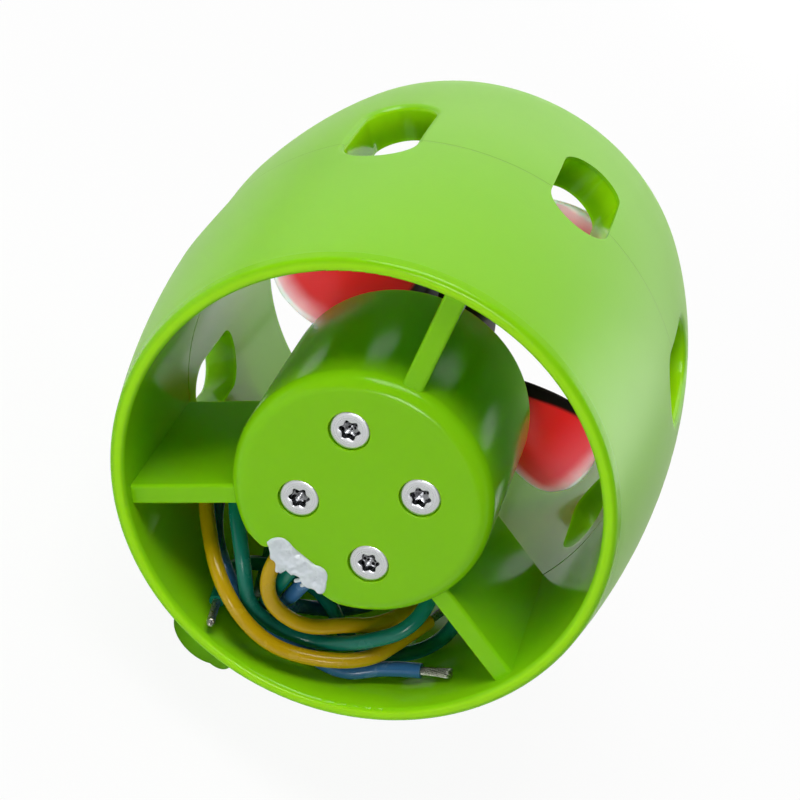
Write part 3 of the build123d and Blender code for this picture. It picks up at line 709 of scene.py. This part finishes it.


# Moulded propeller: glossy red blades with rosy tips and pale edges, painted light for light through the thin
# plastic; the hub and blade roots, and a strip along the first blade's nose, are painted black as shade
# In this table rosy, pale and rim are painted light on the thin parts, and black with its spans is painted shade
bladeTint = {"red": "#DE2329", "shade": "#D01B22", "rosy": "#EC5E6E", "pale": "#FBC9D4", "rim": "#FFF6F8",
             "shadeBlack": "#0F0B0A", "paleWidth": 3.7, "rimWidth": 0.95, "rosySpan": (20.0, 30.0),
             "paleSpan": (13.0, 20.0), "noseShadeSpan": (14.0, 27.0), "noseShadeChord": (0.76, 0.98),
             "noseShadeEnd": (27.0, 25.0), "rootPaintedShade": (12.4, 11.6), "shortRoot": 3.8, "noPaleNose": 9.0,
             "roughness": (0.2, 0.5), "shine": (0.5, 0.12), "scatter": 0.4, "scatterReach": 1.2}


def mouldedPropeller():
    material, tree, shader, place = startMaterial("redMouldedPropeller", 0.22)
    reach, chord, blade, half = (attributeValue(tree, name)
                                 for name in ("span", "chord", "blade", "halfChord"))
    flow = grain(tree, place, 0.12)
    wobble = minus(tree, flow, 0.5)
    red = mixColours(tree, flow, bladeTint["red"], bladeTint["shade"])
    # Rosy towards the tip, then pale and near-white edges: painted light through the thin blade
    towardsTip = times(tree, spread(tree, reach, *bladeTint["rosySpan"]), 0.85)
    rosy = mixColours(tree, towardsTip, red, bladeTint["rosy"])
    noseShadedBlade = combine(tree, "LESS_THAN", blade, 0.5)
    # Distances in from the trailing edge, the nose and the tip, in millimetres
    fromTrail = times(tree, plus(tree, chord, 1.0), half)
    fromNose = times(tree, minus(tree, 1.0, chord), half)
    fromNose = plus(tree, fromNose, times(tree, noseShadedBlade, bladeTint["noPaleNose"]))
    fromTip = minus(tree, blades["tip"], reach)
    outer = spread(tree, reach, *bladeTint["paleSpan"])
    layers = rosy
    for width, inner, colour in ((bladeTint["paleWidth"], 0.2, bladeTint["pale"]),
                                 (bladeTint["rimWidth"], 0.4, bladeTint["rim"])):
        kept = 1.0
        for distance in (fromTrail, fromNose, fromTip):
            wavy = plus(tree, distance, times(tree, wobble, width * 0.6))
            kept = times(tree, kept, spread(tree, wavy, inner, width))
        share = times(tree, minus(tree, 1.0, kept), outer)
        layers = mixColours(tree, share, layers, colour)
    # A black strip along the first blade's nose is painted shade, where the nose turns away from the light
    out = plus(tree, reach, wobble)
    border = spread(tree, out, *bladeTint["noseShadeSpan"], *bladeTint["noseShadeChord"], smooth=False)
    noseShade = spread(tree, minus(tree, chord, border), -0.04, 0.04)
    noseShade = times(tree, times(tree, noseShadedBlade, noseShade), spread(tree, out, *bladeTint["noseShadeEnd"]))
    # Black at the roots, shorter on the third blade, and over the hub is painted shade from the pod
    third = combine(tree, "LESS_THAN", combine(tree, "ABSOLUTE", minus(tree, blade, 2.0)), 0.5)
    fromRoot = plus(tree, reach, times(tree, third, bladeTint["shortRoot"]))
    paintedShade = combine(tree, "MAXIMUM", spread(tree, fromRoot, *bladeTint["rootPaintedShade"]), noseShade)
    tint = mixColours(tree, paintedShade, layers, bladeTint["shadeBlack"])
    satin = spread(tree, paintedShade, 0.0, 1.0, *bladeTint["roughness"])
    addFinish(tree, shader, tint, satin, spread(tree, paintedShade, 0.0, 1.0, *bladeTint["shine"]))
    addBump(tree, shader, grain(tree, place, 1.2), 0.12, 0.03)
    addScatter(shader, bladeTint["scatter"], (1.0, 0.2, 0.15), bladeTint["scatterReach"])
    return material


def arcRings(height, radius, size, count=5):
    # Rings of a rounded outer corner that ends at this height
    return [(height - size * (1 - math.sin(turn)), radius - size * (1 - math.cos(turn)))
            for turn in (math.pi / 2 * step / count for step in range(count + 1))]


hubLength = hub["far"] - hub["near"]
hubRings = [(0.0, hub["bore"]), (0.0, hub["radius"] - 0.3), (0.3, hub["radius"])]
hubRings += arcRings(hubLength, hub["radius"], hub["round"]) + [(hubLength, hub["bore"])]
hubMesh = latheMesh("hub", hubRings, 72, closed=True)
hubMesh.transform(Matrix.Translation(stationPoint(hub["near"]) * mm) @ Matrix.Rotation(-math.pi / 2, 4, "X"))
hubObject = newObject("hubOne", hubMesh)
propeller = propellerMesh(hubObject, mouldedPropeller())
bpy.data.objects.remove(hubObject)
addPiece("propellerBlades", propeller, None, "rotor", "propeller", "propeller")
print("propeller made:", len(propeller.polygons), "faces")

# Propeller drive: flange, neck and threaded stud in one turned piece, and the flanged nut on it
stud = {"flange": 8.0, "flangeLength": 2.4, "near": 27.0, "neck": 4.6, "neckEnd": 15.5, "core": 2.45,
        "minor": 2.05, "depth": 0.42, "pitch": 0.8, "threadStart": 32.1, "threadEnd": 38.6, "end": 39.2}
studThread = threadRadius(stud["minor"], stud["depth"], stud["pitch"])
studRings = [(0.0, 0.5), (0.0, stud["flange"] - 0.15), (0.15, stud["flange"])]
studRings += [(stud["flangeLength"] - 0.25, stud["flange"]), (stud["flangeLength"], stud["flange"] - 0.25),
              (stud["flangeLength"], stud["neck"] + 0.4), (stud["flangeLength"] + 0.4, stud["neck"]),
              (stud["neckEnd"], stud["neck"]), (stud["neckEnd"], stud["core"]), (32.0, stud["core"])]
studRings += threadRings(stud["threadStart"], stud["threadEnd"], stud["pitch"], studThread)
studRings += [(stud["end"] - 0.25, stud["minor"]), (stud["end"], 1.7), (stud["end"], 0.4)]
turnedAluminium = turnedMetal("turnedAluminium", "#C6C8CC", "#B2B4B8", 0.34)
placeTurned("propellerStud", studRings, 64, [stationPoint(stud["near"])], towardsOutlet, turnedAluminium,
            "prop_adapter")

nut = {"across": 8.0, "flange": 5.15, "flangeHeight": 0.9, "height": 4.5, "chamfer": 0.45, "bore": 2.3,
       "seat": 60.3}
washer = {"inner": 2.6, "outer": 5.0, "thick": 0.8, "chamfer": 0.15, "seat": 59.5}


def hexFlat(across, turn):
    # How far a hexagon's flat is from the axis at this angle
    return across / 2 / math.cos((turn + math.pi / 6) % (math.pi / 3) - math.pi / 6)


def hexRadius(largest):
    def radius(turn, height):
        return min(hexFlat(nut["across"], turn), largest)
    return radius


corner = nut["across"] / 2 / math.cos(math.pi / 6)
nutRings = [(0.0, nut["bore"] + 0.3), (0.0, nut["flange"] - 0.2), (0.2, nut["flange"]),
            (0.55, nut["flange"] - 0.05), (nut["flangeHeight"], corner + 0.1),
            (nut["flangeHeight"] + 0.1, hexRadius(corner))]
taken = corner - nut["across"] / 2 + 0.12
nutRings += [(nut["height"] - nut["chamfer"] * (1 - share), hexRadius(corner - taken * share))
             for share in (0.0, 0.25, 0.5, 0.75, 1.0)]
nutRings += [(nut["height"], nut["bore"] + 0.35), (nut["height"] - 0.35, nut["bore"]), (0.35, nut["bore"])]
placeTurned("propellerNut", nutRings, 96, [stationPoint(nut["seat"])], towardsOutlet, stainless,
            "prop_nut", closed=True)
washerRings = [(0.0, washer["inner"]), (0.0, washer["outer"] - washer["chamfer"]),
               (washer["chamfer"], washer["outer"]), (washer["thick"] - washer["chamfer"], washer["outer"]),
               (washer["thick"], washer["outer"] - washer["chamfer"]), (washer["thick"], washer["inner"])]
placeTurned("propellerWasher", washerRings, 72, [stationPoint(washer["seat"])], towardsOutlet, stainless,
            "prop_washer", closed=True)

# Adapter screws: socket heads on the flange, in a ring of four
socket = {"ring": 6.2, "count": 4, "seat": 29.4, "head": 1.3, "height": 1.2, "shank": 0.8, "depth": 0.7,
          "across": 1.25}


def socketRadius(turn, height):
    return hexFlat(socket["across"], turn)


socketRings = [(-4.2, 0.5), (-4.0, socket["shank"]), (0.0, socket["shank"]), (0.0, socket["head"] - 0.05),
               (0.05, socket["head"]), (socket["height"] - 0.2, socket["head"]),
               (socket["height"], socket["head"] - 0.2), (socket["height"], socketRadius),
               (socket["height"] - socket["depth"], socketRadius),
               (socket["height"] - socket["depth"] - 0.15, 0.15)]
socketPoints = [stationPoint(socket["seat"], socket["ring"] * math.cos(turn), socket["ring"] * math.sin(turn))
                for turn in (math.pi / 4 + math.pi / 2 * index for index in range(socket["count"]))]
placeTurned("adapterScrews", socketRings, 48, socketPoints, towardsOutlet, stainless, "adapter_screws",
            spin=anyTurn, seed=3)

# Foot inserts: knurled brass with an M4 thread, one in each boss
insert = {"radius": 2.8, "band": 2.7, "groove": 2.3, "knurl": 0.14, "teeth": 28, "length": 8.0,
          "top": 8.3, "minor": 1.65, "thread": 0.3, "pitch": 0.7, "spacing": 18.0}


def knurled(turn, height):
    return insert["radius"] - insert["knurl"] * abs(math.sin(turn * insert["teeth"] / 2))


insertThread = threadRadius(insert["minor"], insert["thread"], insert["pitch"])
insertRings = [(0.0, insert["radius"] - 0.35), (0.3, insert["band"]), (0.7, insert["band"]),
               (0.8, knurled), (3.4, knurled), (3.5, insert["groove"]), (4.5, insert["groove"]),
               (4.6, knurled), (7.2, knurled), (7.3, insert["band"]), (7.85, insert["band"]),
               (insert["length"], insert["radius"] - 0.25), (insert["length"], insert["minor"] + 0.35)]
insertRings += threadRings(0.3, insert["length"] - 0.3, insert["pitch"], insertThread)[::-1]
insertRings += [(0.0, insert["minor"] + 0.35)]
brass = turnedMetal("turnedBrass", "#B88F45", "#9C7433", 0.33)
insertPoints = [(0.0, insert["spacing"], insert["top"]), (0.0, -insert["spacing"], insert["top"])]
placeTurned("footInserts", insertRings, 84, insertPoints, downwards, brass, "foot_inserts", spin=anyTurn,
            seed=5, closed=True)
print("turned pieces placed")

# Sealant: pressed into the notch by hand round the leads, a little proud of the pod's face, with a
# ragged lower edge and smears on the leads
seal = {"front": 0.42, "far": 7.0, "round": 0.3, "voxel": 0.13, "swell": 0.3, "ripple": 0.14,
        "swellDepth": 1.2, "scatter": 0.3, "scatterReach": 0.5}
# Across and above the thrust axis, from the left corner of the notch over its top
sealOutline = ((-5.2, -13.8), (-4.9, -13.0), (-4.4, -12.1), (-3.6, -11.5), (-2.4, -11.6), (-1.2, -11.9),
               (0.6, -11.8), (1.6, -11.9), (2.4, -11.4), (3.3, -11.4), (4.1, -12.0), (4.5, -12.9),
               (5.0, -13.7), (5.2, -14.5), (4.7, -15.0), (3.9, -14.8), (3.1, -15.5), (2.2, -15.5),
               (1.4, -14.8), (0.4, -15.2), (-0.4, -15.4), (-0.9, -15.0), (-0.9, -15.9), (-1.1, -16.6),
               (-1.6, -16.5), (-2.0, -15.7), (-2.6, -15.2), (-3.1, -15.6), (-3.6, -14.8), (-4.3, -14.2))
# Smears: across, station and height of both ends, and the radius
smears = (((2.2, 1.7, -15.2), (1.4, 1.9, -16.6), 0.3), ((3.0, 1.7, -15.3), (2.4, 1.75, -16.5), 0.28),
          ((-0.5, 1.5, -15.1), (-0.9, 1.8, -16.9), 0.3), ((0.6, 1.5, -15.0), (0.3, 1.6, -15.9), 0.3))


def sealantMesh():
    outline = bpy.data.curves.new("sealantOutline", "CURVE")
    outline.dimensions = "2D"
    outline.fill_mode = "BOTH"
    outline.extrude = ((seal["far"] - seal["front"]) / 2 - seal["round"]) * mm
    outline.bevel_depth = seal["round"] * mm
    outline.bevel_resolution = 3
    outline.offset = -seal["round"] * mm
    spline = outline.splines.new("NURBS")
    spline.points.add(len(sealOutline) - 1)
    for slotPoint, (across, height) in zip(spline.points, sealOutline):
        slotPoint.co = (across * mm, height * mm, 0.0, 1.0)
    spline.order_u = 3
    spline.use_cyclic_u = True
    slab = evaluated(newObject("sealantOutline", outline))
    middle = stationPoint((seal["front"] + seal["far"]) / 2) * mm
    slab.transform(Matrix.Translation(middle) @ Matrix.Rotation(math.pi / 2, 4, "X"))
    work = bmesh.new()
    work.from_mesh(slab)
    for (across, along, height), (nextAcross, nextAlong, nextHeight), radius in smears:
        ends = (stationPoint(along, across, height), stationPoint(nextAlong, nextAcross, nextHeight))
        tubeAlong(work, [ends[0].lerp(ends[1], step / 6) * mm for step in range(7)], radius * mm, 12)
    work.to_mesh(slab)
    work.free()
    helper = newObject("sealantSlab", slab)
    remesh = helper.modifiers.new("remesh", "REMESH")
    remesh.voxel_size = seal["voxel"] * mm
    relax = helper.modifiers.new("relax", "SMOOTH")
    relax.factor = 0.5
    relax.iterations = 5
    blob = evaluated(helper)
    for vertex in blob.vertices:
        place = Vector((vertex.co.x, 0.0, vertex.co.z)) / mm
        swell = seal["swell"] * noise.noise(place * 0.6) + seal["ripple"] * noise.noise(place * 1.7)
        depth = (vertex.co.y - rimCentre.y) / mm - seal["front"]
        vertex.co.y += swell * max(0.0, 1.0 - depth / seal["swellDepth"]) * mm
    for face in blob.polygons:
        face.use_smooth = True
    return blob


# Silicone sealant: milky and glossy, so light sinks a little way in and its bumps show as soft glints
def milkySealant():
    material, tree, shader, place = startMaterial("milkySiliconeSealant", 0.25)
    ripple = grain(tree, place, 0.7)
    tint = mixColours(tree, ripple, "#E6EDF3", "#D3DCE3")
    addFinish(tree, shader, tint, spread(tree, ripple, 0.3, 0.7, 0.18, 0.36))
    addBump(tree, shader, ripple, 0.25, 0.12)
    addScatter(shader, seal["scatter"], (1.0, 1.0, 1.0), seal["scatterReach"])
    return material


addPiece("leadSealant", sealantMesh(), milkySealant(), "duct", "sealant", "lead_sealant")
print("sealant made")

# Motor parts: carried over as joined meshes, each with the finish of its own material
motorFinish = {
    "motor_base": plainSurface("machinedAluminiumBase", "#B9BBC0", "#A3A6AB", 0.34, 1.0, 1.5, 0.01),
    "shaft_bushes": plainSurface("mouldedPolymerBush", "#2C2C2E", "#1F1F21", 0.5, 0.0, 2.0, 0.02),
    "stator_core": stackedSteel("stampedLaminations", "#6A6B6E", "#26272A", 0.5),
    "stator_windings": stackedSteel("enamelledCopperTurns", "#A8562A", "#5A2410", 0.42),
    "rotor_bell": plainSurface("blackenedSteelBell", "#3D3E42", "#2C2D30", 0.36, 0.9, 1.2, 0.02),
    "rotor_magnets": plainSurface("nickelPlatedMagnet", "#A9ABAE", "#8F9195", 0.28, 1.0, 1.0, 0.01),
    "motor_shaft": plainSurface("groundSteelShaft", "#B4B6BA", "#9DA0A4", 0.2, 1.0, 3.0, 0.005),
    "shaft_circlip": plainSurface("springSteelClip", "#6E6F73", "#55565A", 0.35, 1.0, 2.0, 0.01)}
for node, finish in motorFinish.items():
    words = node.split("_")
    smoothCopy(node, words[0] + words[1].capitalize(), finish)
print("motor parts finished")

# Floor: a pale sheet that keeps a faint shadow and shows nearly white to the camera
sheet = {"half": 3.0, "glow": 0.93}
floorCorners = [(x * sheet["half"], y * sheet["half"], 0.0) for x, y in ((-1, -1), (1, -1), (1, 1), (-1, 1))]
floorMesh = bpy.data.meshes.new("floor")
floorMesh.from_pydata(floorCorners, [], [(0, 1, 2, 3)])
floor = newObject("floor", floorMesh)
paper = bpy.data.materials.new("whitePaperSweep")
paper.use_nodes = True
paperTree = paper.node_tree
paperTree.nodes.clear()
seen = addNode(paperTree, "ShaderNodeLightPath").outputs["Is Camera Ray"]
matt = addNode(paperTree, "ShaderNodeBsdfDiffuse", {"Color": hexColour("#F4F4F2")})
bright = addNode(paperTree, "ShaderNodeEmission", {"Color": hexColour("#FFFFFF"), "Strength": 1.0})
shown = times(paperTree, seen, sheet["glow"])
blended = addNode(paperTree, "ShaderNodeMixShader", None,
                  {0: shown, 1: matt.outputs[0], 2: bright.outputs[0]})
addNode(paperTree, "ShaderNodeOutputMaterial", None, {"Surface": blended.outputs[0]})
floorMesh.materials.append(paper)

# Surroundings: a white room with a dark side behind the camera. The eye and reflections see it at full
# strength, and it is softer as a source of light.
studio = {"light": 0.1, "behindCamera": 0.1, "aim": 30.0}
world = bpy.data.worlds.new("whiteRoom")
bpy.context.scene.world = world
world.use_nodes = True
room = world.node_tree
room.nodes.clear()
paths = addNode(room, "ShaderNodeLightPath").outputs
outward = addNode(room, "ShaderNodeTexCoord").outputs["Generated"]
towardsCamera = addNode(room, "ShaderNodeVectorMath", {1: -lensAxis}, {0: outward}, operation="DOT_PRODUCT")
side = spread(room, towardsCamera.outputs["Value"], -0.2, 0.5, 1.0, studio["behindCamera"])
mirrored = combine(room, "MAXIMUM", paths["Is Glossy Ray"], paths["Is Transmission Ray"])
reflected = times(room, mirrored, side)
plain = spread(room, mirrored, 0.0, 1.0, studio["light"], 0.0, smooth=False)
strength = combine(room, "MAXIMUM", plus(room, reflected, plain), paths["Is Camera Ray"])
sky = addNode(room, "ShaderNodeBackground", {"Color": hexColour("#FFFFFF")}, {"Strength": strength})
addNode(room, "ShaderNodeOutputWorld", None, {"Surface": sky.outputs[0]})

# Softboxes, each placed from the middle of the object by its way to the camera's right, its up and
# towards the camera: distance and size in metres, power in watts, and whether reflections show it.
# The last one is a small reflector for the propeller, which stands deep in the duct.
softboxes = {"key": ((0.15, 1.0, 0.85), 0.75, 0.45, 4.7, True),
             "inlet": ((-0.22, -0.43, 0.88), 0.75, 0.16, 1.3, True),
             "outlet": ((0.22, 0.43, -0.88), 0.6, 0.25, 1.4, False),
             "left": ((-0.9, 0.2, -0.8), 0.7, 0.45, 1.7, True),
             "right": ((1.0, 0.1, -0.35), 0.7, 0.45, 1.3, True),
             "blades": ((-0.15, -0.25, 0.95), 0.6, 0.3, 4.0, False)}
middle = stationPoint(studio["aim"]) * mm
for name, (way, distance, size, power, mirrors) in softboxes.items():
    direction = (cameraRight * way[0] + cameraUp * way[1] - lensAxis * way[2]).normalized()
    lampData = bpy.data.lights.new(name + "Softbox", "AREA")
    lampData.size = size
    lampData.energy = power
    lamp = newObject(name + "Softbox", lampData)
    facing = direction.to_track_quat("Z", "Y").to_matrix().to_4x4()
    lamp.matrix_world = Matrix.Translation(middle + direction * distance) @ facing
    lamp.visible_glossy = mirrors
lit = bpy.data.collections.new("litByReflector")
lit.objects.link(bpy.data.objects["propellerBlades"])
bpy.data.objects["bladesSoftbox"].light_linking.receiver_collection = lit
print("floor, room and softboxes set")
